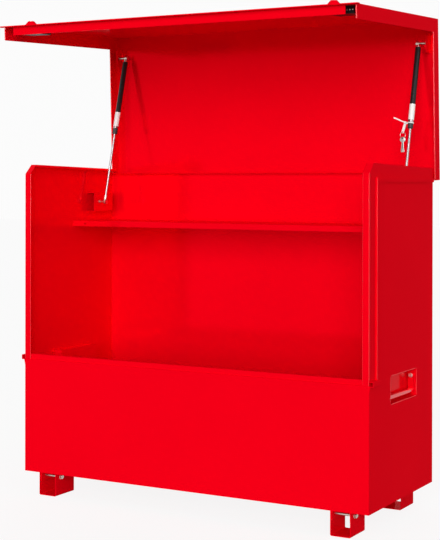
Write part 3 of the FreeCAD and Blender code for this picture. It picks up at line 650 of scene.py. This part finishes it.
class CHEST_OT_post_hems(Operator):
    """Roll the corner posts' inner edges, smooth their outer folds and turn down the top's edge"""
    bl_idname = "chest.post_hems"
    bl_label = "Post hems"

    def execute(self, context):
        radius = context.scene.chest_trim.hem_radius * POST_HEM_SHARE
        for side, way in SIDES:
            bm = bmesh.new()
            for x, thick in ((way * POST_EDGE_X, radius), (way * (BODY_SIDE - SHEET), SHEET + FOLD_PROUD)):
                rod(bm, place(x, SHEET, POST_BOTTOM), place(x, SHEET, POST_TOP), thick)
            finished(bm, "post_hem_" + side, "chest", "red_paint", "red_edge")
            bm = bmesh.new()
            crown, rear = crown_line(way * POST_EDGE_X)
            rod(bm, place(way * POST_EDGE_X, SHEET, POST_TOP), crown, radius)
            slope = Matrix.Rotation(math.atan2(rear.z - crown.z, rear.y - crown.y), 3, "X")
            middle = (crown + rear) / 2 - Vector((0, 0, TOP_LIP / 2 - SHEET / 2))
            slab(bm, middle, (SHEET, (rear - crown).length, TOP_LIP), slope, soft=SHEET * 0.3)
            finished(bm, "top_lip_" + side, "chest", "red_paint", "red_inner")
        return {"FINISHED"}


class CHEST_OT_strip_edges(Operator):
    """Round the outer front edges of the guard strips"""
    bl_idname = "chest.strip_edges"
    bl_label = "Guard strip edges"

    def execute(self, context):
        inset = STRIP_EDGE - FOLD_PROUD
        for side, way in SIDES:
            bm = bmesh.new()
            x = way * (STRIP_OUT - inset)
            foot = place(x, STRIP_BACK + inset, STRIP_FOOT)
            corner = place(x, STRIP_BACK + inset, STRIP_TOP - inset)
            rear = place(x, REAR_BACK - SHEET, STRIP_TOP - inset)
            rod(bm, foot, corner, STRIP_EDGE)
            finished(bm, "strip_edge_" + side, "chest", "red_paint", "red_edge")
            bm = bmesh.new()
            rod(bm, corner, rear, STRIP_EDGE)
            finished(bm, "strip_edge_top_" + side, "chest", "red_paint")
        return {"FINISHED"}


# Weld beads

TAB_LOW = 0.539
TAB_HIGH = 0.559
TAB_WELD = (0.016, 0.051)
BRACKET_WELDS = ((0.010, 0.040), (0.093, 0.123))
TAB_WELD_SHARE = 0.7
BRACKET_WELD_SHARE = 0.8
FOOT_TOP = 0.090
FOOT_WELD_INSET = 0.004
FOOT_WELD_SINK = 0.0008
LEAF_HALF = 0.060
LEAF_CENTRES = (-0.560, 0.0, 0.560)
LEAF_WELD_LIFT = 0.0005
LEAF_WELD_RISE = 0.045
LEAF_WELD_SHARE = 0.95


class CHEST_OT_foot_welds(Operator):
    """Weld the feet to the floor pan"""
    bl_idname = "chest.foot_welds"
    bl_label = "Foot welds"

    def execute(self, context):
        trim = context.scene.chest_trim
        for end in ("front", "rear"):
            for side, _ in SIDES:
                low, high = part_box("foot_" + end + "_" + side)
                bm = bmesh.new()
                for x in (low.x, high.x):
                    start = Vector((x, low.y + FOOT_WELD_INSET, FOOT_TOP - FOOT_WELD_SINK))
                    stop = Vector((x, high.y - FOOT_WELD_INSET, FOOT_TOP - FOOT_WELD_SINK))
                    bead(bm, start, stop, trim.weld_radius, trim.weld_pitch)
                finished(bm, "foot_weld_" + end + "_" + side, "chest", "red_paint")
        return {"FINISHED"}


class CHEST_OT_tab_welds(Operator):
    """Weld the corner tabs and the strut brackets to the side panels"""
    bl_idname = "chest.tab_welds"
    bl_label = "Tab and bracket welds"

    def execute(self, context):
        trim = context.scene.chest_trim
        low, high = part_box("strut_mounts_low")
        for side, way in SIDES:
            bm = bmesh.new()
            for up in (TAB_LOW, TAB_HIGH):
                bead(bm, place(way * BODY_SIDE, TAB_WELD[0], up), place(way * BODY_SIDE, TAB_WELD[1], up),
                     trim.weld_radius * TAB_WELD_SHARE, trim.weld_pitch)
            wall = way * high.x
            for z in (low.z, high.z):
                for start, stop in BRACKET_WELDS:
                    bead(bm, Vector((wall, low.y + start, z)), Vector((wall, low.y + stop, z)),
                         trim.weld_radius * BRACKET_WELD_SHARE, trim.weld_pitch)
            finished(bm, "tab_weld_" + side, "chest", "red_paint")
        return {"FINISHED"}


class CHEST_OT_hinge_welds(Operator):
    """Weld the hinge leaves to the back panel"""
    bl_idname = "chest.hinge_welds"
    bl_label = "Hinge welds"

    def execute(self, context):
        trim = context.scene.chest_trim
        low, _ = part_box("hinge_body_leaves")
        for index, centre in enumerate(LEAF_CENTRES):
            bm = bmesh.new()
            foot = Vector((centre, FRONT + REAR_BACK + LEAF_WELD_LIFT, low.z))
            across = Vector((LEAF_HALF, 0, 0))
            rise = Vector((0, 0, LEAF_WELD_RISE))
            reach = across * LEAF_WELD_SHARE
            bead(bm, foot - reach, foot + reach, trim.weld_radius, trim.weld_pitch)
            for way in (-1, 1):
                bead(bm, foot + across * way, foot + across * way + rise, trim.weld_radius, trim.weld_pitch)
            finished(bm, "hinge_weld_" + str(index + 1), "chest", "red_paint")
        return {"FINISHED"}


# Foot bolts

FOOT_BOLT_BACK = 0.033
FOOT_BOLT_UP = 0.0745
WASHER_HOLE = 0.0052


class CHEST_OT_foot_washers(Operator):
    """Put washers under the heads and nuts of the foot bolts"""
    bl_idname = "chest.foot_washers"
    bl_label = "Foot bolt washers"

    def execute(self, context):
        trim = context.scene.chest_trim
        bm = bmesh.new()
        for end in ("front", "rear"):
            for side, _ in SIDES:
                low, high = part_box("foot_" + end + "_" + side)
                for x, way in ((low.x, -1), (high.x, 1)):
                    centre = Vector((x, low.y + FOOT_BOLT_BACK, FOOT_BOLT_UP))
                    washer(bm, centre, Vector((way, 0, 0)), WASHER_HOLE,
                           trim.washer_radius, trim.washer_thickness)
        finished(bm, "foot_washers", "chest", "zinc")
        return {"FINISHED"}


# Gas struts, with profiles as (distance out from the rod's or the tube's wall, distance up the strut)

STRUT_LENGTH = 0.65047
TUBE_LENGTH = 0.305
TUBE_TO_BALL = 0.018
GUIDE_LENGTH = 0.023
TUBE_RADIUS = 0.011
SOCKET_RADIUS = 0.0095
ROD_RADIUS = 0.005
SEAL_PROFILE = (
    (0.0001, 0), (0.0012, -0.0022), (0.0030, -0.0014),
    (0.0042, 0), (0.0042, 0.0008), (0.0001, 0.0008),
)
END_PROFILE = (
    (-0.0035, 0.0004), (-0.0008, 0.0001), (0.0003, -0.0016),
    (0.0003, -0.0046), (-0.0002, -0.0056), (-0.0035, -0.0056),
)
CLIP_INWARD = 0.0035
CLIP_GAP = 0.0003
CLIP_WIRE = 0.0007


class CHEST_OT_strut_fittings(Operator):
    """Add the seals, rolled ends and retaining clips of the gas struts"""
    bl_idname = "chest.strut_fittings"
    bl_label = "Strut fittings"

    def execute(self, context):
        guide_top = STRUT_LENGTH - TUBE_TO_BALL - TUBE_LENGTH
        guide_bottom = guide_top - GUIDE_LENGTH
        across = Vector((1, 0, 0))
        for side, way in SIDES:
            low, up = strut_line(side)
            high = low + up * STRUT_LENGTH
            bm = bmesh.new()
            profile = [(ROD_RADIUS + out, rise) for out, rise in SEAL_PROFILE]
            lathe(bm, profile, low + up * guide_bottom, up, closed=True)
            finished(bm, "strut_seal_" + side, "strut_cylinder_" + side, "black_plastic")

            bm = bmesh.new()
            end = guide_top + TUBE_LENGTH
            profile = [(TUBE_RADIUS + out, rise) for out, rise in END_PROFILE]
            lathe(bm, profile, low + up * end, up, closed=True)
            finished(bm, "strut_end_" + side, "strut_cylinder_" + side, "black_paint")

            for name, centre, body in (("low", low, "strut_rod_"), ("up", high, "strut_cylinder_")):
                bm = bmesh.new()
                hoop(bm, centre - across * way * CLIP_INWARD, across, SOCKET_RADIUS + CLIP_GAP, CLIP_WIRE)
                finished(bm, "strut_clip_" + name + "_" + side, body + side, "zinc")
        return {"FINISHED"}


# Locks

LOCK_X = 0.662
LOCK_UP = 0.603
GUARD_REACH = 0.018
LID_FACE = -0.005
LID_INNER = -0.003
CASE_DEPTH = 0.028
SCREW_XS = (0.708, 0.7185, 0.729)
SCREW_UP = 0.612
SCREW_BACK = 0.014
PLATE_SCREW_X = 0.626
PLATE_SCREW_UP = 0.597
SCREW_RADIUS = 0.0029
SCREW_HEIGHT = 0.0019
# Sizes of the black slabs painted as shade in the screws' cross recesses
SLOT_SHADE_LENGTH = 0.0030
SLOT_SHADE_WIDTH = 0.0008
SLOT_DEPTH = 0.0004
SLOT_SHADE_HEIGHT = 0.0018
RIM_INNER = 0.0081
RIM_OUTER = 0.0108
RIM_THICKNESS = 0.0009


def screw_head(bm, seat, along):
    """A domed head with a soft rim, standing on its seat."""
    radius = SCREW_RADIUS
    height = SCREW_HEIGHT
    profile = [
        (0, -SLOT_DEPTH), (radius, -SLOT_DEPTH), (radius, height * 0.35),
        (radius * 0.86, height * 0.75), (radius * 0.5, height * 0.98), (0, height),
    ]
    lathe(bm, profile, seat, along, steps=20)


def painted_slot_shade(bm, seat, along):
    """Painted shade of a screw's cross recess: black slabs laid on the top of its dome."""
    turn = along.to_track_quat("Z", "Y").to_matrix()
    for angle in (0.0, math.pi / 2):
        spin = turn @ Matrix.Rotation(angle, 3, "Z")
        slab(bm, seat + along.normalized() * SLOT_SHADE_HEIGHT, (SLOT_SHADE_LENGTH, SLOT_SHADE_WIDTH, SLOT_DEPTH), spin, soft=0)


def lock_screw_seats(way):
    """Seats and ways of one lock's screws on the open lid."""
    down = lid_way(0, -1)
    inward = lid_way(1, 0)
    seats = [(on_lid(place(way * x, LID_INNER + SCREW_BACK, SCREW_UP)), down) for x in SCREW_XS]
    seats.append((on_lid(place(way * PLATE_SCREW_X, LID_INNER + CASE_DEPTH, PLATE_SCREW_UP)), inward))
    return seats


class CHEST_OT_lock_screws(Operator):
    """Model the domed cross-head screws of the lock cases"""
    bl_idname = "chest.lock_screws"
    bl_label = "Lock screws"

    def execute(self, context):
        heads = bmesh.new()
        slots = bmesh.new()
        for _, way in SIDES:
            for seat, along in lock_screw_seats(way):
                screw_head(heads, seat, along)
                # Painted shade: black slabs stand in for the shade inside each screw's cross recess
                painted_slot_shade(slots, seat, along)
        made = finished(heads, "case_screws", "lid", "zinc")
        finished(slots, "case_screw_slot_shade", "lid", "lock_black", smooth=False)
        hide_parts("lock_screws")
        return {"FINISHED"}


class CHEST_OT_lock_rims(Operator):
    """Ring the lock barrels where they show in their guards"""
    bl_idname = "chest.lock_rims"
    bl_label = "Lock rims"

    def execute(self, context):
        out = lid_way(-1, 0)
        for side, way in SIDES:
            bm = bmesh.new()
            seat = on_lid(place(way * LOCK_X, LID_FACE - GUARD_REACH, LOCK_UP))
            washer(bm, seat, out, RIM_INNER, RIM_OUTER, RIM_THICKNESS, steps=36)
            finished(bm, "lock_rim_" + side, "lid", "nickel")
        return {"FINISHED"}


# Side handles

PIVOT_X = 0.740
PIVOT_UP = 0.527
GRIP_UP = 0.470
POCKET_FRONT = 0.190
POCKET_REAR = 0.436
POCKET_LOW = 0.452
POCKET_HIGH = 0.554
POCKET_CORNER = 0.0065
POCKET_RIM = 0.0012
HEAD_INSET = 0.0094
ARM_INSET = 0.009
HEAD_PROFILE = (
    (0, 0.0001), (0.0086, 0.0001), (0.0086, 0.0030), (0.0076, 0.0044),
    (0.0046, 0.0048), (0.0040, 0.0044), (0.0040, 0.0042), (0, 0.0042),
)
GRIP_WELD_RADIUS = 0.0102
GRIP_WELD_WIRE = 0.0014


class CHEST_OT_pocket_rims(Operator):
    """Round the edges of the handle pockets' openings"""
    bl_idname = "chest.pocket_rims"
    bl_label = "Pocket rims"

    def execute(self, context):
        radius = POCKET_RIM
        inset = radius - FOLD_PROUD
        for side, way in SIDES:
            bm = bmesh.new()
            x = way * (BODY_SIDE - inset)
            corners = [
                place(x, POCKET_FRONT - inset, POCKET_LOW - inset),
                place(x, POCKET_REAR + inset, POCKET_LOW - inset),
                place(x, POCKET_REAR + inset, POCKET_HIGH + inset),
                place(x, POCKET_FRONT - inset, POCKET_HIGH + inset),
            ]
            for first, second in zip(corners, corners[1:] + corners[:1]):
                way_on = (second - first).normalized() * POCKET_CORNER
                rod(bm, first + way_on, second - way_on, radius)
            finished(bm, "pocket_rim_" + side, "chest", "red_paint", "red_edge")
        return {"FINISHED"}


class CHEST_OT_handle_trim(Operator):
    """Add the socket heads of the handle pivots and the welds of the grips"""
    bl_idname = "chest.handle_trim"
    bl_label = "Handle trim"

    def execute(self, context):
        for side, way in SIDES:
            bm = bmesh.new()
            for back, along in ((POCKET_FRONT + HEAD_INSET, 1), (POCKET_REAR - HEAD_INSET, -1)):
                seat = place(way * PIVOT_X, back, PIVOT_UP)
                lathe(bm, HEAD_PROFILE, seat, Vector((0, along, 0)), steps=30)
            finished(bm, "handle_head_" + side, "chest", "zinc")

            bm = bmesh.new()
            for back in (POCKET_FRONT + ARM_INSET, POCKET_REAR - ARM_INSET):
                seat = place(way * PIVOT_X, back, GRIP_UP)
                hoop(bm, seat, Vector((0, 1, 0)), GRIP_WELD_RADIUS, GRIP_WELD_WIRE)
            finished(bm, "grip_weld_" + side, "handle_" + side, "red_paint")
        return {"FINISHED"}


# Keys

KEY_HEAD = 0.0105
KEY_HOLE = 0.0032
KEY_HOLE_RISE = 0.0055
KEY_THICKNESS = 0.0022
KEY_BLADE = 0.039
KEY_WIDTH = 0.008
KEY_FAN = math.radians(6)
KEY_GAP = 0.0015
KEY_SOFT = 0.0003
KEY_TIP_RISE = 0.003
KEY_SHOULDER = KEY_HEAD * 1.1
KEY_CUTS = (0.0006, 0.0019, 0.0009, 0.0022, 0.0012, 0.0016, 0.0)
CUT_START = 0.0028
CUT_END = 0.0044
CUT_PITCH = 0.0044
HEAD_START = -62
HEAD_SWEEP = 304
HEAD_STEPS = 24
# The black slabs and discs painted as shade in the keys' grooves and holes
GROOVE_SHADE_OFFSET = -0.0008
GROOVE_SHADE_WIDTH = 0.0014
GROOVE_SHADE_THICKNESS = 0.0003
HOLE_SHADE_PROFILE = ((0, 0.0002), (KEY_HOLE, 0.0002), (KEY_HOLE, -0.0001), (0, -0.0001))
HOLE_SHADE_SINK = 0.0001
RING_TURN = math.radians(35)
RING_WIRE = 0.0008
RING_INSET = 0.0009
RING_PITCH = 0.00075


def key_outline():
    """One key's outline, its hole's middle at the origin and its tip down."""
    points = []
    for i in range(HEAD_STEPS + 1):
        angle = math.radians(HEAD_START + (HEAD_SWEEP * i) / HEAD_STEPS)
        points.append((KEY_HEAD * math.cos(angle), -KEY_HOLE_RISE + KEY_HEAD * math.sin(angle)))
    half = KEY_WIDTH / 2
    tip = -KEY_HOLE_RISE - KEY_HEAD - KEY_BLADE
    points.append((-half, -KEY_HOLE_RISE - KEY_SHOULDER))
    points.append((-half, tip + KEY_TIP_RISE))
    points.append((-half * 0.3, tip))
    points.append((half * 0.2, tip))
    for i, cut in enumerate(KEY_CUTS):
        points.append((half - cut, tip + CUT_START + CUT_PITCH * i))
        points.append((half - cut, tip + CUT_END + CUT_PITCH * i))
    points.append((half, -KEY_HOLE_RISE - KEY_SHOULDER))
    return points


class CHEST_OT_key_bunch(Operator):
    """Model the two keys and their split ring"""
    bl_idname = "chest.key_bunch"
    bl_label = "Keys and ring"

    def execute(self, context):
        low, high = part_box("key_ring")
        centre = (low + high) / 2
        radius = (high.z - low.z) / 2 - RING_INSET
        normal = Vector((math.cos(RING_TURN), -math.sin(RING_TURN), 0))
        bm = bmesh.new()
        for step in (-RING_PITCH, RING_PITCH):
            hoop(bm, centre + normal * step, normal, radius, RING_WIRE, steps=48)
        made = finished(bm, "split_ring", "key_bunch", "nickel")
        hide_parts("key_ring")

        bm = bmesh.new()
        painted_key_shade = bmesh.new()
        hang = centre - Vector((0, 0, radius))
        for way in (-1, 1):
            y = way * KEY_GAP
            spot = hang + Vector((y * math.tan(RING_TURN), y, 0))
            spin = Matrix.Rotation(way * KEY_FAN, 3, "Y")
            verts = plate(bm, key_outline(), KEY_THICKNESS, KEY_SOFT)
            bmesh.ops.rotate(bm, cent=(0, 0, 0), matrix=spin, verts=verts)
            bmesh.ops.translate(bm, vec=spot, verts=verts)
            # Painted shade: black slabs on the blade's faces stand in for the shade in the milled grooves,
            # and black discs for the shade in the key holes
            groove_shade_size = (GROOVE_SHADE_WIDTH, GROOVE_SHADE_THICKNESS, KEY_BLADE * 0.8)
            groove_shade_up = -KEY_HOLE_RISE - KEY_HEAD - KEY_BLADE * 0.45
            for face in (-1, 1):
                middle = Vector((GROOVE_SHADE_OFFSET, face * KEY_THICKNESS / 2, groove_shade_up))
                slab(painted_key_shade, spot + spin @ middle, groove_shade_size, spin, soft=0)
                hole_shade = Vector((0, face * (KEY_THICKNESS / 2 - HOLE_SHADE_SINK), 0))
                lathe(painted_key_shade, HOLE_SHADE_PROFILE, spot + spin @ hole_shade, spin @ Vector((0, face, 0)), steps=20)
        made = finished(bm, "cut_keys", "key_bunch", "nickel")
        # The painted shade of the grooves and holes, in the lock cases' black paint
        finished(painted_key_shade, "key_groove_and_hole_shade", "key_bunch", "lock_black")
        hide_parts("keys")
        return {"FINISHED"}


# Stage

CAMERA_PLACE = (2.6683, -4.5051, 1.2594)
CAMERA_YAW = 28.23
CAMERA_PITCH = 0.19
CAMERA_ROLL = 0.11
SENSOR = 36.0
SHIFT_X = -0.1037
SHIFT_Y = -0.1556
SEE_FAR = 200.0
KEY_WAY = (0.32, -0.92, 0.21)
SIDE_WAY = (0.88, -0.30, 0.36)
BACK_WAY = (-0.50, 0.80, 0.35)


def light_from(name, way, power, spread):
    """A wide sun lamp that shines from the given way."""
    lamp = bpy.data.lights.new(name, "SUN")
    lamp.energy = power
    lamp.angle = spread
    thing = bpy.data.objects.new(name, lamp)
    thing.rotation_mode = "QUATERNION"
    thing.rotation_quaternion = Vector(way).to_track_quat("Z", "Y")
    bpy.context.scene.collection.objects.link(thing)


def floor_finish(stage):
    """A pale floor that looks nearly white where it is seen, and keeps the shadow."""
    floor = Finish("floor_white", Roughness=0.9, Specular_IOR_Level=0.0)
    seen = floor.background_rays()
    pale = (stage.floor_white,) * 3 + (1.0,)
    floor.set(Base_Color=floor.tint(seen, pale, WHITE))
    glow = floor.node("ShaderNodeEmission").outputs[0]
    share = seen * stage.backdrop_share
    mixed = floor.node("ShaderNodeMixShader", {}, {0: share, 1: floor.shader.outputs[0], 2: glow})
    floor.feed(floor.tree.nodes["Material Output"].inputs["Surface"], mixed.outputs[0])
    return floor.material


def lay_floor(stage):
    """A wide flat floor under the feet."""
    bm = bmesh.new()
    bmesh.ops.create_grid(bm, x_segments=1, y_segments=1, size=stage.floor_size / 2)
    mesh = bpy.data.meshes.new("floor")
    bm.to_mesh(mesh)
    bm.free()
    mesh.materials.append(floor_finish(stage))
    floor = bpy.data.objects.new("floor", mesh)
    bpy.context.scene.collection.objects.link(floor)


def even_light(stage):
    """Even light from all round, seen as the white backdrop."""
    world = bpy.data.worlds.new("even_light")
    world.use_nodes = True
    nodes = Nodes(world.node_tree)
    sky = nodes.tree.nodes["Background"]
    sky.inputs["Color"].default_value = WHITE
    seen = nodes.background_rays()
    nodes.feed(sky.inputs["Strength"], stage.sky + seen * (stage.backdrop_white - stage.sky))
    return world


def aimed_camera(stage):
    """The camera at its fitted place, turn and shift."""
    lens = bpy.data.cameras.new("camera")
    lens.lens = stage.lens
    lens.sensor_width = SENSOR
    lens.shift_x = SHIFT_X
    lens.shift_y = SHIFT_Y
    lens.clip_end = SEE_FAR
    camera = bpy.data.objects.new("camera", lens)
    turn = Matrix.Rotation(math.radians(CAMERA_YAW), 4, "Z")
    tilt = Matrix.Rotation(math.radians(90 - CAMERA_PITCH), 4, "X")
    roll = Matrix.Rotation(math.radians(CAMERA_ROLL), 4, "Z")
    camera.matrix_world = Matrix.Translation(CAMERA_PLACE) @ turn @ tilt @ roll
    bpy.context.scene.collection.objects.link(camera)
    return camera


class CHEST_OT_stage(Operator):
    """Set the pale floor, the plain light and the camera"""
    bl_idname = "chest.stage"
    bl_label = "Stage"

    def execute(self, context):
        scene = context.scene
        stage = scene.chest_stage
        lay_floor(stage)
        scene.world = even_light(stage)
        light_from("key_light", KEY_WAY, stage.key_power, stage.key_spread)
        light_from("side_light", SIDE_WAY, stage.side_power, stage.key_spread)
        light_from("back_light", BACK_WAY, stage.back_power, stage.key_spread)
        scene.camera = aimed_camera(stage)
        scene.view_settings.view_transform = "Standard"
        return {"FINISHED"}


class CHEST_PT_dressing(Panel):
    """Lists the steps in the 3D view's sidebar"""
    bl_idname = "CHEST_PT_dressing"
    bl_label = "Storage chest"
    bl_space_type = "VIEW_3D"
    bl_region_type = "UI"
    bl_category = "Chest"

    def draw(self, context):
        for step in STEPS:
            self.layout.operator(step.bl_idname)


STEPS = (
    CHEST_OT_coat_sheets,
    CHEST_OT_plate_metals,
    CHEST_OT_finish_fittings,
    CHEST_OT_lid_hems,
    CHEST_OT_post_hems,
    CHEST_OT_strip_edges,
    CHEST_OT_foot_welds,
    CHEST_OT_tab_welds,
    CHEST_OT_hinge_welds,
    CHEST_OT_foot_washers,
    CHEST_OT_strut_fittings,
    CHEST_OT_lock_screws,
    CHEST_OT_lock_rims,
    CHEST_OT_pocket_rims,
    CHEST_OT_handle_trim,
    CHEST_OT_key_bunch,
    CHEST_OT_stage,
)
SETTINGS = {
    "chest_colours": ChestColours,
    "chest_gloss": ChestGloss,
    "chest_trim": ChestTrim,
    "chest_stage": ChestStage,
}


def register():
    """Registers the settings, the steps and the panel."""
    for group in SETTINGS.values():
        bpy.utils.register_class(group)
    for step in STEPS:
        bpy.utils.register_class(step)
    bpy.utils.register_class(CHEST_PT_dressing)
    for name, group in SETTINGS.items():
        setattr(bpy.types.Scene, name, PointerProperty(type=group))


def unregister():
    """Takes away what register set up."""
    for name in SETTINGS:
        delattr(bpy.types.Scene, name)
    bpy.utils.unregister_class(CHEST_PT_dressing)
    for step in reversed(STEPS):
        bpy.utils.unregister_class(step)
    for group in reversed(list(SETTINGS.values())):
        bpy.utils.unregister_class(group)


def main():
    """Runs every step."""
    register()
    for step in STEPS:
        group, name = step.bl_idname.split(".")
        getattr(getattr(bpy.ops, group), name)()


if __name__ == "__main__":
    main()
